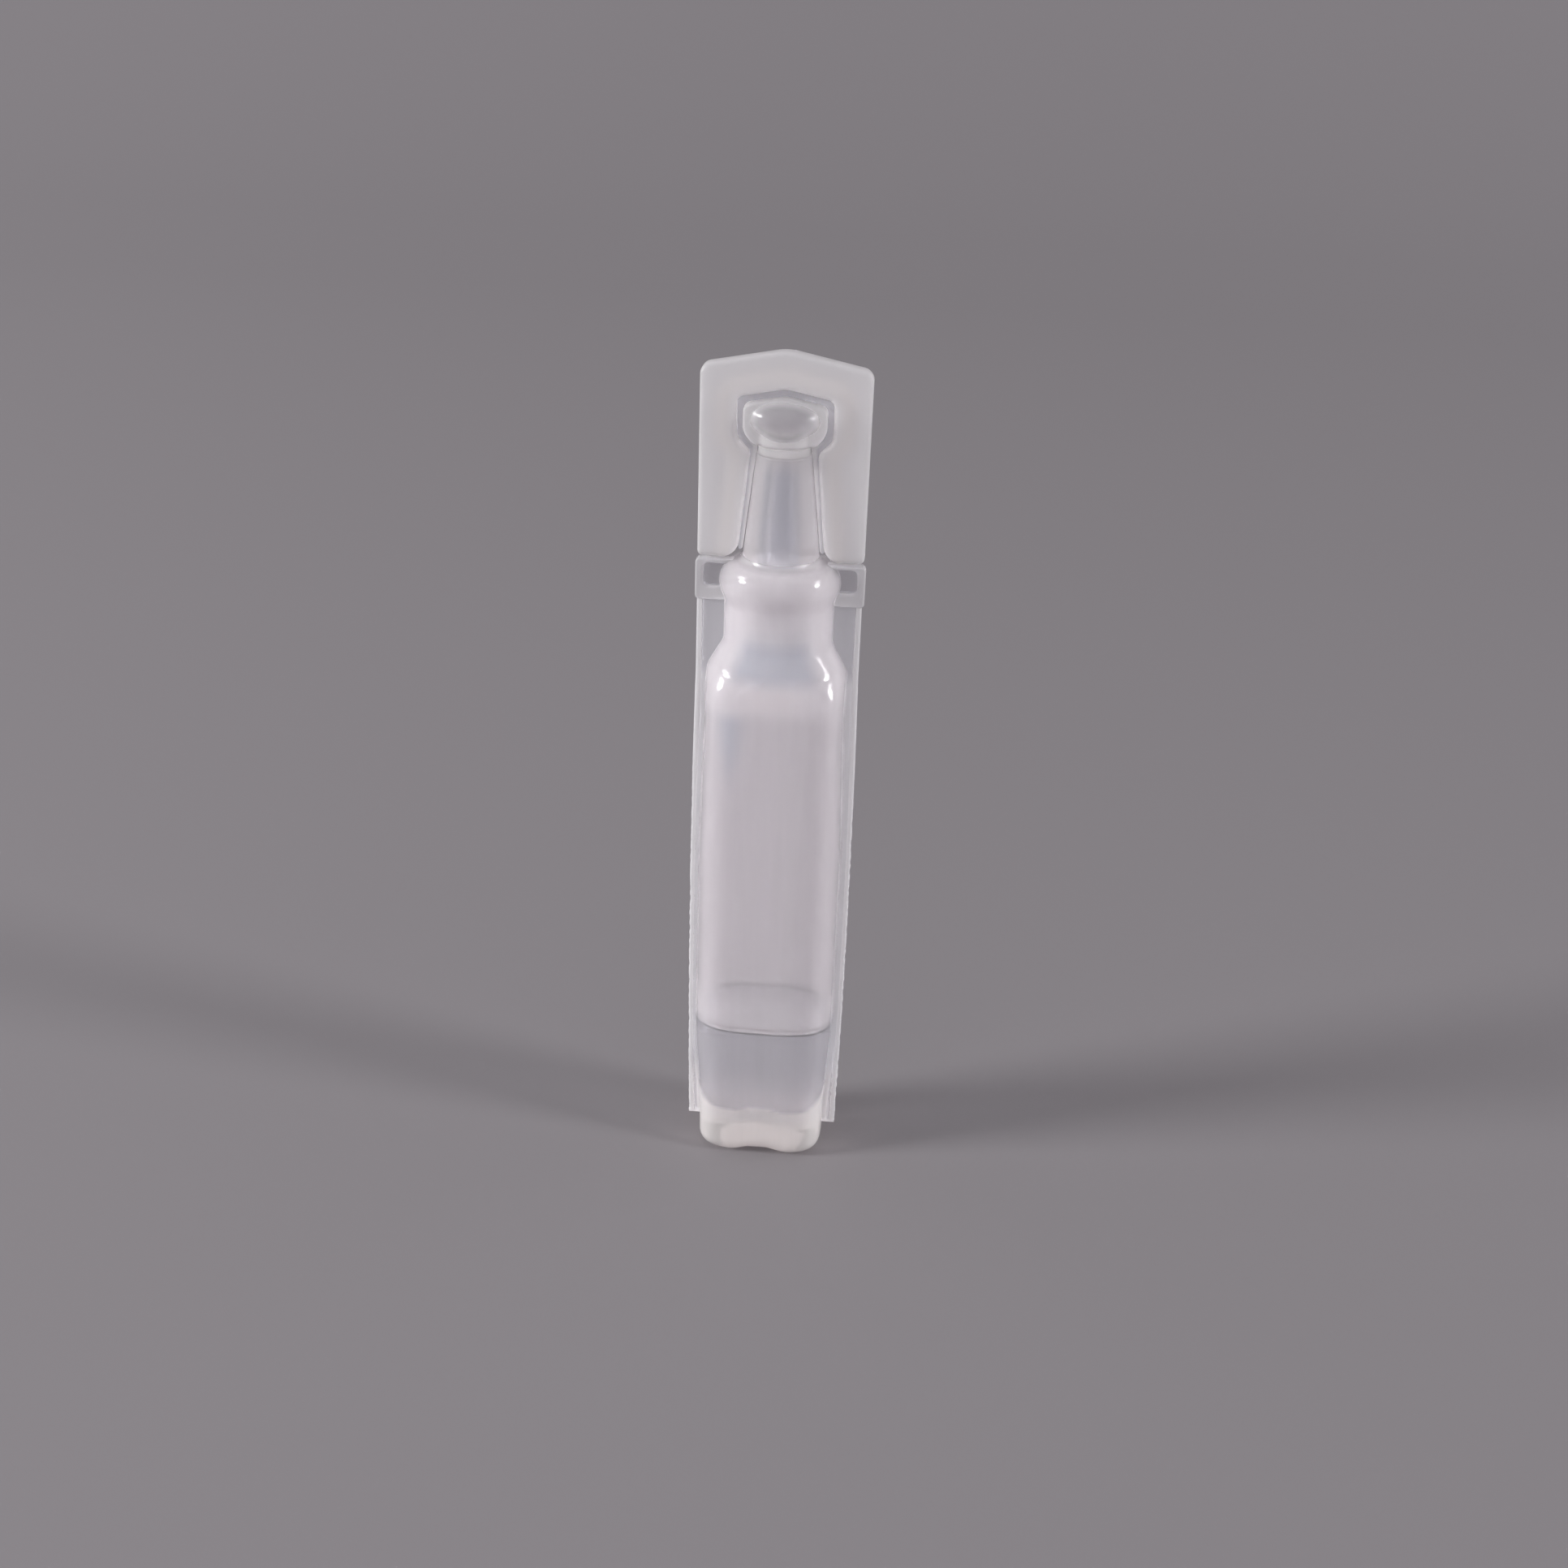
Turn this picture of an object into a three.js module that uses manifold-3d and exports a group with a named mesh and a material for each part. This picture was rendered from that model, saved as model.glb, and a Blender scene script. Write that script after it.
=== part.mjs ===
// A single-dose eye wash vial, blow-moulded, filled and sealed as one piece of soft polyethylene.
// A hollow chamber narrows to a collar and a conical nozzle, closed by a flat tab with a hollow key.
// The tab is twisted until the thin ring under its key shears, and is then pulled off upwards.
// Millimetres, +Z up, front towards -Y. The origin is the middle of the foot, where the vial stands.
import * as THREE from "three";
import { mergeVertices } from "three/addons/utils/BufferGeometryUtils.js";
import Module from "manifold-3d";

const wasm = await Module();
wasm.setup();

// Chamber: outside sizes, squareness of the section (2 is an ellipse) at three heights, and walls
const bodyWidth = 14.75;
const bodyDepth = 11.2;
const bodySquareness = 2.9;
const footSquareness = 4;
const topSquareness = 3.8;
const footNarrowing = 1.55;
const footFlattening = 1.2;
const shoulderNarrowing = 0.75;
const shoulderFlattening = 0.3;
const footRadius = 1.5;
const footTaperHeight = 16;
const shoulderTaperHeight = 16;
const chamberHeight = 54.2;
const wall = 0.6;
const floorThickness = 2.5;
const innerFootRadius = 3.2;
const saddleWidth = 5.6;
const saddleDepth = 0.6;

// Shoulder, whose front and back slope in from lower down than its sides, neck and rounded collar
const shoulderHeight = 3.8;
const facetDrop = 3;
const neckWidth = 10.7;
const neckDepth = 9.8;
const neckHeight = 3.4;
const collarSwell = 0.55;
const collarHeight = 4.2;

// Nozzle, its bore, and the ring that shears when the tab is twisted
const rootFilletHeight = 1.2;
const rootFilletReach = 0.7;
const nozzleBaseDiameter = 7.2;
const nozzleTipDiameter = 5.2;
const nozzleLength = 9.4;
const tipRadius = 0.35;
const boreBaseDiameter = 2.6;
const orificeDiameter = 1.5;
const tearRingDiameter = 4.8;
const tearRingHeight = 0.6;

// Tab: a flat plate round the nozzle, with a thicker land along the groove that a thin film closes
const tabThickness = 1.8;
const tabEdgeRadius = 0.3;
const tabCornerRadius = 1;
const tabFootRadius = 1.9;
const tabRoofHeight = 2.85;
const tabPeakRise = 1.6;
const landThickness = 2.2;
const landWidth = 1.6;
const grooveWidth = 0.6;
const filmThickness = 0.35;

// The key inside the tab: a flange and a round boss on the ring, with a hollow blister swelling out of both
const keyWidth = 7.85;
const keyFlangeThickness = 2.4;
const keyFootWidth = 5.8;
const keyFlareHeight = 1.2;
const keyEavesHeight = 3.8;
const keyCornerRadius = 0.6;
const blisterWidth = 7.1;
const blisterDepth = 5.2;
const blisterHeight = 4;
const blisterWall = 0.4;

// Side webs, left where the vial was torn from its strip, and the framed bridges beside the collar
const webReach = 0.625;
const webBow = 0.27;
const webThickness = 0.35;
const webFootHeight = 2;
const webCornerRadius = 0.5;
const rimWidth = 0.6;
const rimThickness = 0.9;
const bridgeOverhang = 0.2;
const bridgePostWidth = 0.8;
const bridgeRibHeight = 1.4;
const bridgeLintelHeight = 0.5;
const bridgeThickness = 1.2;

// Contents
const fillDepth = 12.9;

// Clearances: between pieces side by side, and between faces that seat on each other
const clearance = 0.3;
const seatGap = 0.1;

// Resolution of the round forms
const ringSides = 40;
const arcSteps = 4;
const easeSteps = 5;

// Heights that stack up from the foot
const neckZ = chamberHeight + shoulderHeight;
const collarZ = neckZ + neckHeight;
const collarTopZ = collarZ + collarHeight;
const nozzleZ = collarTopZ + rootFilletHeight;
const tipZ = nozzleZ + nozzleLength;
const tearRingZ = tipZ + seatGap;
const keyZ = tearRingZ + tearRingHeight + seatGap;
const keyEavesZ = keyZ + keyEavesHeight;
const blisterZ = keyZ + (keyFlareHeight + keyEavesHeight) / 2;
const tabFootZ = collarTopZ + clearance;
const tabEavesZ = keyEavesZ + grooveWidth + tabRoofHeight;
const webTopZ = collarZ - clearance;

// Widths that follow from the strip the vial was moulded in, and the slope of the tab's roof
const stripHalfWidth = bodyWidth / 2 + webReach;
const roofSlope = tabPeakRise / stripHalfWidth;

// Materials
function clearish(color, roughness, opacity) {
  return new THREE.MeshStandardMaterial({ color, roughness, opacity, metalness: 0, transparent: true });
}

const milky = clearish(0xd6d4d8, 0.3, 0.75);
const whitened = clearish(0xdedbdd, 0.4, 0.85);
const filmy = clearish(0xc8c8ce, 0.3, 0.6);
const liquid = clearish(0xdde4e8, 0.05, 0.35);

// A cross-section at a height.
function section(z, halfWidth, halfDepth, squareness = 2) {
  return { z, halfWidth, halfDepth, squareness };
}

function roundSection(z, radius) {
  return section(z, radius, radius);
}

function grown({ z, halfWidth, halfDepth, squareness }, by) {
  return section(z, halfWidth + by, halfDepth + by, squareness);
}

function mixed(low, high, sideways, upwards) {
  const mix = THREE.MathUtils.lerp;
  return section(
    mix(low.z, high.z, upwards),
    mix(low.halfWidth, high.halfWidth, sideways),
    mix(low.halfDepth, high.halfDepth, sideways),
    mix(low.squareness, high.squareness, sideways),
  );
}

// Sections after low and up to high, on a soft S-curve.
function eased(low, high) {
  return Array.from({ length: easeSteps }, (_, i) => {
    const t = (i + 1) / easeSteps;
    return mixed(low, high, THREE.MathUtils.smoothstep(t, 0, 1), t);
  });
}

// Values of an angle in even steps over a quarter turn from one angle to another, ends included.
function quarterTurn(from, to) {
  return Array.from({ length: arcSteps + 1 }, (_, i) => THREE.MathUtils.lerp(from, to, i / arcSteps));
}

// Sections that round the lower edge of a form, from its flat bottom out to the section given.
function footSections(bottomZ, radius, outer) {
  return quarterTurn(0, Math.PI / 2).map((angle) => {
    const inset = radius * (1 - Math.sin(angle));
    const z = bottomZ + radius * (1 - Math.cos(angle));
    return section(z, outer.halfWidth - inset, outer.halfDepth - inset, outer.squareness);
  });
}

// The cross-section of a stack of sections at any height between them.
function sectionAt(stack, z) {
  const above = Math.max(stack.findIndex((s) => s.z >= z), 1);
  const [low, high] = [stack[above - 1], stack[above]];
  const share = (z - low.z) / (high.z - low.z);
  return mixed(low, high, share, share);
}

// A three.js geometry as a solid that can be joined and cut.
function solid(geometry) {
  const bare = geometry.clone();
  bare.deleteAttribute("normal");
  bare.deleteAttribute("uv");
  const merged = mergeVertices(bare, 1e-4);
  const vertProperties = new Float32Array(merged.attributes.position.array);
  const triVerts = new Uint32Array(merged.index.array);
  return new wasm.Manifold(new wasm.Mesh({ numProp: 3, vertProperties, triVerts }));
}

// A closed solid through a stack of sections, from the lowest up.
function loft(stack) {
  const positions = [];
  const squared = (value, squareness) => Math.sign(value) * Math.abs(value) ** (2 / squareness);
  for (const { z, halfWidth, halfDepth, squareness } of stack) {
    for (let side = 0; side < ringSides; side++) {
      const angle = ((side + 0.5) / ringSides) * 2 * Math.PI;
      const x = halfWidth * squared(Math.cos(angle), squareness);
      const y = halfDepth * squared(Math.sin(angle), squareness);
      positions.push(x, y, z);
    }
  }
  const bottom = positions.length / 3;
  const top = bottom + 1;
  positions.push(0, 0, stack[0].z, 0, 0, stack.at(-1).z);
  const lastRing = bottom - ringSides;
  const index = [];
  for (let side = 0; side < ringSides; side++) {
    const next = (side + 1) % ringSides;
    index.push(bottom, next, side);
    index.push(top, lastRing + side, lastRing + next);
    for (let ring = 0; ring < lastRing; ring += ringSides) {
      index.push(ring + side, ring + next, ring + ringSides + next);
      index.push(ring + side, ring + ringSides + next, ring + ringSides + side);
    }
  }
  const geometry = new THREE.BufferGeometry();
  geometry.setAttribute("position", new THREE.Float32BufferAttribute(positions, 3));
  geometry.setIndex(index);
  return solid(geometry);
}

// A solid turned about the vial's axis from a profile of [radius, z] points.
function turned(profile) {
  const points = profile.map(([radius, z]) => new THREE.Vector2(radius, z));
  const geometry = new THREE.LatheGeometry(points, ringSides);
  geometry.rotateX(Math.PI / 2);
  return solid(geometry);
}

// A closed outline through corners [x, z, radius], each rounded over that length of its sides at most.
function roundedOutline(corners) {
  const outline = new THREE.Shape();
  corners.forEach(([x, z, radius = 0], i) => {
    const corner = new THREE.Vector2(x, z);
    const sides = [corners.at(i - 1), corners[(i + 1) % corners.length]];
    const along = sides.map(([otherX, otherZ]) => new THREE.Vector2(otherX, otherZ).sub(corner));
    const reach = Math.min(radius, along[0].length() / 2, along[1].length() / 2);
    const [start, end] = along.map((side) => side.setLength(reach).add(corner));
    if (i === 0) outline.moveTo(start.x, start.y);
    else outline.lineTo(start.x, start.y);
    if (reach > 0) outline.quadraticCurveTo(x, z, end.x, end.y);
  });
  outline.closePath();
  return outline;
}

// A plate in the plane of the webs, with its middle at Y = 0.
function plate(outline, thickness, edgeRadius = 0) {
  const geometry = new THREE.ExtrudeGeometry(outline, {
    depth: thickness - 2 * edgeRadius,
    curveSegments: arcSteps,
    bevelEnabled: edgeRadius > 0,
    bevelSegments: 2,
    bevelThickness: edgeRadius,
    bevelSize: edgeRadius,
    bevelOffset: -edgeRadius,
  });
  geometry.rotateX(Math.PI / 2);
  geometry.translate(0, thickness / 2 - edgeRadius, 0);
  return solid(geometry);
}

// A round bar along Y whose top stands at the height given.
function barAcross(radius, topZ) {
  const geometry = new THREE.CylinderGeometry(radius, radius, 2 * bodyDepth, ringSides);
  geometry.translate(0, 0, topZ - radius);
  return solid(geometry);
}

// The chamber's outside at a height, this much narrower and flatter than its belly.
function chamberSection(z, squareness, narrowing = 0, flattening = 0) {
  return section(z, (bodyWidth - narrowing) / 2, (bodyDepth - flattening) / 2, squareness);
}

// Sections after the chamber's top and up to the neck: depth and corners draw in first, then the width.
function shoulderSections(top, neck) {
  const { lerp, smoothstep } = THREE.MathUtils;
  return Array.from({ length: 2 * easeSteps }, (_, i) => {
    const z = lerp(top.z, neck.z, (i + 1) / (2 * easeSteps));
    const front = smoothstep(z, top.z, neck.z);
    const sides = smoothstep(z, chamberHeight, neck.z);
    const corners = smoothstep(z, top.z, (top.z + neck.z) / 2);
    const squareness = lerp(top.squareness, neck.squareness, corners);
    const halfWidth = lerp(top.halfWidth, neck.halfWidth, sides);
    return section(z, halfWidth, lerp(top.halfDepth, neck.halfDepth, front), squareness);
  });
}

// The outside of the vial, from the foot to the nozzle's tip.
function vialSections() {
  const facetZ = chamberHeight - facetDrop;
  const foot = chamberSection(footRadius, footSquareness, footNarrowing, footFlattening);
  const bellyLow = chamberSection(footRadius + footTaperHeight, bodySquareness);
  const bellyHigh = chamberSection(facetZ - shoulderTaperHeight, bodySquareness);
  const chamberTop = chamberSection(facetZ, topSquareness, shoulderNarrowing, shoulderFlattening);
  const neck = section(neckZ, neckWidth / 2, neckDepth / 2);
  const collarFoot = { ...neck, z: collarZ };
  const collarMiddle = grown({ ...neck, z: collarZ + collarHeight / 2 }, collarSwell);
  const rootRadius = nozzleBaseDiameter / 2;
  const collarTop = roundSection(collarTopZ, rootRadius + rootFilletReach);
  const tipEdge = nozzleTipDiameter / 2 - tipRadius;

  const collarAbove = quarterTurn(0, Math.PI / 2).slice(1, -1).map((angle) => {
    return mixed(collarMiddle, collarTop, 1 - Math.cos(angle), Math.sin(angle));
  });
  const rootFillet = quarterTurn(0, Math.PI / 2).map((angle) => {
    const radius = rootRadius + rootFilletReach * (1 - Math.sin(angle));
    return roundSection(nozzleZ - rootFilletHeight * Math.cos(angle), radius);
  });
  const tip = quarterTurn(0, Math.PI / 2).map((angle) => {
    const z = tipZ - tipRadius * (1 - Math.sin(angle));
    return roundSection(z, tipEdge + tipRadius * Math.cos(angle));
  });
  return [
    ...footSections(0, footRadius, foot),
    ...eased(foot, bellyLow),
    bellyHigh,
    ...eased(bellyHigh, chamberTop),
    ...shoulderSections(chamberTop, neck),
    collarFoot,
    ...eased(collarFoot, collarMiddle),
    ...collarAbove,
    ...rootFillet,
    ...tip,
  ];
}

// The space inside the vial: the outside less its wall, then the bore of the nozzle up through its tip.
function cavitySections(outside) {
  const innerFootZ = floorThickness + innerFootRadius;
  const innerFoot = grown(sectionAt(outside, innerFootZ), -wall);
  const walls = outside.filter((s) => s.z > innerFootZ && s.z < collarTopZ);
  return [
    ...footSections(floorThickness, innerFootRadius, innerFoot),
    ...walls.map((s) => grown(s, -wall)),
    roundSection(nozzleZ, boreBaseDiameter / 2),
    roundSection(tipZ + clearance, orificeDiameter / 2),
  ];
}

const outside = vialSections();
const inside = cavitySections(outside);

// The saddle across the foot leaves two lobes to stand on, and raises a ridge on the floor inside.
const saddleRadius = (saddleWidth ** 2 / 4 + saddleDepth ** 2) / (2 * saddleDepth);

function floorRidge(gap) {
  const radius = saddleRadius + floorThickness + gap;
  return barAcross(radius, saddleDepth + floorThickness + gap);
}

function vialShell() {
  const cavity = loft(inside).subtract(floorRidge(0));
  return loft(outside).subtract(cavity).subtract(barAcross(saddleRadius, saddleDepth));
}

function salineFill() {
  const bottomZ = floorThickness + seatGap;
  const levelZ = floorThickness + fillDepth;
  const wetted = inside.filter((s) => s.z > bottomZ && s.z < levelZ);
  const stack = [sectionAt(inside, bottomZ), ...wetted, sectionAt(inside, levelZ)];
  return loft(stack.map((s) => grown(s, -seatGap))).subtract(floorRidge(seatGap));
}

function tearRing() {
  const topZ = tearRingZ + tearRingHeight;
  const outer = tearRingDiameter / 2;
  const inner = orificeDiameter / 2;
  return turned([[inner, tearRingZ], [outer, tearRingZ], [outer, topZ], [inner, topZ], [inner, tearRingZ]]);
}

// The space that the nozzle and the ring need inside the tab.
function nozzleRoom() {
  const sides = outside.filter((s) => s.z > collarZ + collarHeight / 2 && s.z < tipZ);
  const ringRoom = tearRingDiameter / 2 + clearance;
  const profile = sides.map((s) => [s.halfWidth + clearance, s.z]);
  return turned([[0, profile[0][1]], ...profile, [ringRoom, tipZ + seatGap], [ringRoom, keyZ], [0, keyZ]]);
}

// The blister on the key, or with a wall to take off, the hollow inside it.
function blister(inset) {
  const geometry = new THREE.SphereGeometry(1, ringSides, ringSides / 2);
  geometry.rotateX(Math.PI / 2);
  geometry.scale(blisterWidth / 2 - inset, blisterDepth / 2 - inset, blisterHeight / 2 - inset);
  geometry.translate(0, 0, blisterZ);
  return solid(geometry);
}

// The key before it is hollowed: its flange, the boss that stands on the ring, and the blister.
function fullKey() {
  const corners = [
    [keyFootWidth / 2, keyZ, keyCornerRadius],
    [keyWidth / 2, keyZ + keyFlareHeight, keyCornerRadius],
    [keyWidth / 2, keyEavesZ, keyCornerRadius],
  ];
  const flange = roundedOutline([...corners, keyholePeak(0), ...mirrored(corners).reverse()]);
  const bossRadius = tearRingDiameter / 2;
  const boss = turned([[0, keyZ], [bossRadius, keyZ], [bossRadius, blisterZ], [0, blisterZ]]);
  return plate(flange, keyFlangeThickness, tabEdgeRadius).add(boss).add(blister(0));
}

// The right half of an outline this far out from the nozzle and the key, from the tab's foot up.
function keyholeCorners(reach) {
  const rootHalf = nozzleBaseDiameter / 2 + reach;
  const waistHalf = nozzleTipDiameter / 2 + reach;
  const keyHalf = keyWidth / 2 + reach;
  const flareZ = keyZ + keyFlareHeight - reach;
  return [
    [rootHalf, tabFootZ, tabFootRadius],
    [waistHalf, flareZ - (keyHalf - waistHalf), grooveWidth],
    [keyHalf, flareZ, grooveWidth],
    [keyHalf, keyEavesZ + reach, grooveWidth],
  ];
}

// The peak over such an outline, on the middle line.
function keyholePeak(reach) {
  return [0, keyEavesZ + reach + (keyWidth / 2 + reach) * roofSlope, grooveWidth];
}

function mirrored(corners) {
  return corners.map(([x, z, radius]) => [-x, z, radius]);
}

// A plate inside the given right-hand corners and peak, with the keyhole cut out of it.
function keyholePlate(corners, peak, thickness) {
  const keyhole = keyholeCorners(grooveWidth);
  const outline = roundedOutline([
    ...corners,
    peak,
    ...mirrored(corners).reverse(),
    ...mirrored(keyhole),
    keyholePeak(grooveWidth),
    ...keyhole.reverse(),
  ]);
  return plate(outline, thickness, tabEdgeRadius);
}

function twistOffTab() {
  const flagCorners = [
    [stripHalfWidth, tabFootZ, 2 * tabEdgeRadius],
    [stripHalfWidth, tabEavesZ, tabCornerRadius],
  ];
  const flag = keyholePlate(flagCorners, [0, tabEavesZ + tabPeakRise, tabCornerRadius], tabThickness);
  const landReach = grooveWidth + landWidth;
  const land = keyholePlate(keyholeCorners(landReach), keyholePeak(landReach), landThickness);
  const filmReach = grooveWidth + landWidth / 2;
  const filmCorners = keyholeCorners(filmReach);
  const filmOutline = [...filmCorners, keyholePeak(filmReach), ...mirrored(filmCorners).reverse()];
  const film = plate(roundedOutline(filmOutline), filmThickness);
  const drainRadius = orificeDiameter / 2;
  const drain = turned([[0, tipZ], [drainRadius, tipZ], [drainRadius, blisterZ], [0, blisterZ]]);
  return flag
    .add(land)
    .add(film)
    .add(fullKey())
    .subtract(blister(blisterWall))
    .subtract(drain)
    .subtract(nozzleRoom());
}

// A strip this wide along the right edge of the moulding, straight by the neck and bowed out by the body.
function edgeStrip(width) {
  const [outer, inner] = [stripHalfWidth, stripHalfWidth - width];
  const bowZ = (webFootHeight + chamberHeight) / 2;
  const bow = 2 * webBow;
  const strip = new THREE.Shape();
  strip.moveTo(inner, webFootHeight);
  strip.lineTo(outer - webCornerRadius, webFootHeight);
  strip.quadraticCurveTo(outer, webFootHeight, outer, webFootHeight + webCornerRadius);
  strip.quadraticCurveTo(outer + bow, bowZ, outer, chamberHeight);
  strip.lineTo(outer, webTopZ);
  strip.lineTo(inner, webTopZ);
  strip.lineTo(inner, chamberHeight);
  strip.quadraticCurveTo(inner + bow, bowZ, inner, webFootHeight);
  return strip;
}

// The room that the vial takes up among the webs and bridges.
function vialRoom(gap) {
  return loft(outside.map((s) => grown(s, gap)));
}

const insideNeck = neckWidth / 4;

function sideWeb() {
  const span = stripHalfWidth - insideNeck;
  const film = plate(edgeStrip(span), webThickness);
  const outerRim = plate(edgeStrip(rimWidth), rimThickness);
  const chamber = outside.filter((s) => s.z <= chamberHeight);
  const alongChamber = loft(chamber.map((s) => grown(s, clearance + rimWidth)));
  const innerRim = plate(edgeStrip(span), rimThickness).intersect(alongChamber);
  return film.add(outerRim).add(innerRim).subtract(vialRoom(clearance));
}

function sideBridge() {
  const outer = stripHalfWidth + bridgeOverhang;
  const frameOutline = roundedOutline([
    [insideNeck, collarZ],
    [outer, collarZ, webCornerRadius],
    [outer, collarTopZ, webCornerRadius],
    [insideNeck, collarTopZ],
  ]);
  const windowOutline = roundedOutline([
    [0, collarZ + bridgeRibHeight],
    [outer - bridgePostWidth, collarZ + bridgeRibHeight, webCornerRadius],
    [outer - bridgePostWidth, collarTopZ - bridgeLintelHeight, webCornerRadius],
    [0, collarTopZ - bridgeLintelHeight],
  ]);
  return plate(frameOutline, bridgeThickness)
    .subtract(plate(windowOutline, 2 * bridgeThickness))
    .add(plate(frameOutline, webThickness))
    .subtract(vialRoom(clearance));
}

// A solid as a named mesh.
function piece(name, made, material) {
  const { vertProperties, triVerts } = made.getMesh();
  const geometry = new THREE.BufferGeometry();
  geometry.setAttribute("position", new THREE.BufferAttribute(vertProperties, 3));
  geometry.setIndex(new THREE.BufferAttribute(triVerts, 1));
  geometry.computeVertexNormals();
  const mesh = new THREE.Mesh(geometry, material);
  mesh.name = name;
  return mesh;
}

const vial = new THREE.Group();
vial.add(piece("vial_shell", vialShell(), milky));
vial.add(piece("saline_fill", salineFill(), liquid));
vial.add(piece("tear_ring", tearRing(), whitened));
vial.add(piece("twist_off_tab", twistOffTab(), whitened));

// The left side is the right side turned half round the vial.
for (const [side, turn] of [["right", 0], ["left", Math.PI]]) {
  const edge = new THREE.Group();
  edge.rotation.z = turn;
  edge.add(piece(`${side}_web`, sideWeb(), filmy));
  edge.add(piece(`${side}_bridge`, sideBridge(), filmy));
  vial.add(edge);
}

export default vial;
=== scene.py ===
"""A single-dose eye wash vial in milky polyethylene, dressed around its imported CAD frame.

Sizes are in millimetres, and each finished mesh is scaled to metres.
The vial stands at the origin with its front towards -Y and its flat webs in the plane of X and Z.
"""
import math
from collections import namedtuple

import bmesh
import bpy
from mathutils import Matrix, Vector, noise


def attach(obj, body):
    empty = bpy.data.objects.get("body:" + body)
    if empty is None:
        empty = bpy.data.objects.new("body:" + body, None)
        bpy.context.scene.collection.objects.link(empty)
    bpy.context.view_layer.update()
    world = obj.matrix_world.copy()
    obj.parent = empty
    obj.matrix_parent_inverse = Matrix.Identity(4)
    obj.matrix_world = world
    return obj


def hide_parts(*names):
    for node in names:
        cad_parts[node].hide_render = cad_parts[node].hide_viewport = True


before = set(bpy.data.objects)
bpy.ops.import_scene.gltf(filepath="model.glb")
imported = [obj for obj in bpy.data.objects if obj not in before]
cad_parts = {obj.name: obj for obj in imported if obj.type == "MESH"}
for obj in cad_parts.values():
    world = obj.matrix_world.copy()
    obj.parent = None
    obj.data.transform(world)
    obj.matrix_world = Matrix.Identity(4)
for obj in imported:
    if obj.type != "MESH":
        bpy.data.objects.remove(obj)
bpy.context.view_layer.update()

MM = 0.001

# Chamber: outside sizes, squareness of its section at three heights, and walls
BODY_WIDTH = 14.75
BODY_DEPTH = 11.2
ELLIPSE = 2.0
SQUARENESS = 3.3
FOOT_SQUARENESS = 4.0
TOP_SQUARENESS = 3.8
FOOT_NARROWING = 1.55
FOOT_FLATTENING = 1.2
SHOULDER_NARROWING = 0.75
SHOULDER_FLATTENING = 0.3
FOOT_RADIUS = 1.5
FOOT_TAPER = 16.0
SHOULDER_TAPER = 16.0
CHAMBER_Z = 54.2
WALL = 0.6
FLOOR = 2.5
INNER_FOOT_RADIUS = 3.2
SADDLE_HALF_WIDTH = 3.2
SADDLE_DEPTH = 0.6
SADDLE_FADE = (0.5, 6.0)

# The wall sinks by up to this share, in patches that are long up the vial (waves per millimetre)
SINK = 0.011
SINK_RATE = (0.45, 0.45, 0.16)

# Shoulder, whose front and back slope in from lower down than its sides, neck and collar
FACET_DROP = 3.0
SHOULDER_HEIGHT = 3.8
NECK_HEIGHT = 3.4
NECK_HALF_WIDTH = 5.35
NECK_HALF_DEPTH = 4.9
COLLAR_HEIGHT = 4.2
COLLAR_SWELL = 0.55

# Nozzle
ROOT_HEIGHT = 1.2
ROOT_REACH = 0.7
NOZZLE_LENGTH = 9.4
NOZZLE_RADIUS = 3.6
TIP_RADIUS = 2.6
TIP_ROUND = 0.15
BORE_RADIUS = 1.3
ORIFICE_RADIUS = 0.75

# Tear ring and key, with the half sizes of the key's blister and its hollow
RING_ROOM = 0.8
RING_GAP = 0.01
RING_RADIUS = 2.5
RING_WAIST = 0.03
KEY_FLARE_HEIGHT = 1.2
KEY_EAVES_HEIGHT = 3.8
KEY_HALF_WIDTH = 3.925
KEY_FOOT_HALF_WIDTH = 2.9
KEY_FLANGE = 2.4
KEY_EDGE = 0.3
BLISTER = (3.55, 2.6, 2.0)
HOLLOW = (3.15, 2.15, 1.65)

# Tab, with a thicker land along the groove that a thin film closes
TAB_CLEARANCE = 0.3
TAB_ROOF_HEIGHT = 2.85
TAB_HALF_WIDTH = 8.0
TAB_THICKNESS = 1.8
TAB_EDGE = 0.4
ROOF_SLOPE = 0.2
LAND_RISE = 0.2
LAND_WIDTH = 1.6
GROOVE = 0.6
FILM = 0.35
FILM_OVERLAP = 0.06
FILM_GAP = 0.04

# Webs, by columns this far out from the body and in from the torn edge, and shares of rim there
WEB_FOOT_Z = 2.0
WEB_BOW = 0.27
WEB_OVERLAP = 0.1
WEB_ROWS = 420
RIM_WIDTH = 0.6
RIM_THICKNESS = 0.9
FROM_BODY = (0.0, 0.25, 0.5, RIM_WIDTH)
FROM_EDGE = (RIM_WIDTH, 0.5, 0.25, 0.07, 0.0)
WEB_COLUMNS = len(FROM_BODY) + len(FROM_EDGE)
BODY_RIM = 0.6
EDGE_RIM = (1.0, 1.0, 0.85, 0.45)

# Nicks in the torn edge, coarse and fine (seed, waves per millimetre, depth), fading out upwards
NICKS = ((0.0, 0.9, 0.10), (5.0, 2.6, 0.14))
NICK_SEEDS = {1: 11.0, -1: 47.0}
NICK_FADE = (36.0, 46.0)
EDGE_INSET = 0.01

# Bridges
BRIDGE_OVERHANG = 0.2
BRIDGE_POST = 0.8
BRIDGE_RIB = 1.4
BRIDGE_LINTEL = 0.5
BRIDGE_THICKNESS = 1.2
BRIDGE_EDGE = 0.25
BRIDGE_FOOT_X = 5.1
BRIDGE_HEAD_X = 4.5
WINDOW_X = 5.2
WINDOW_OVERLAP = 0.1

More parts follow.
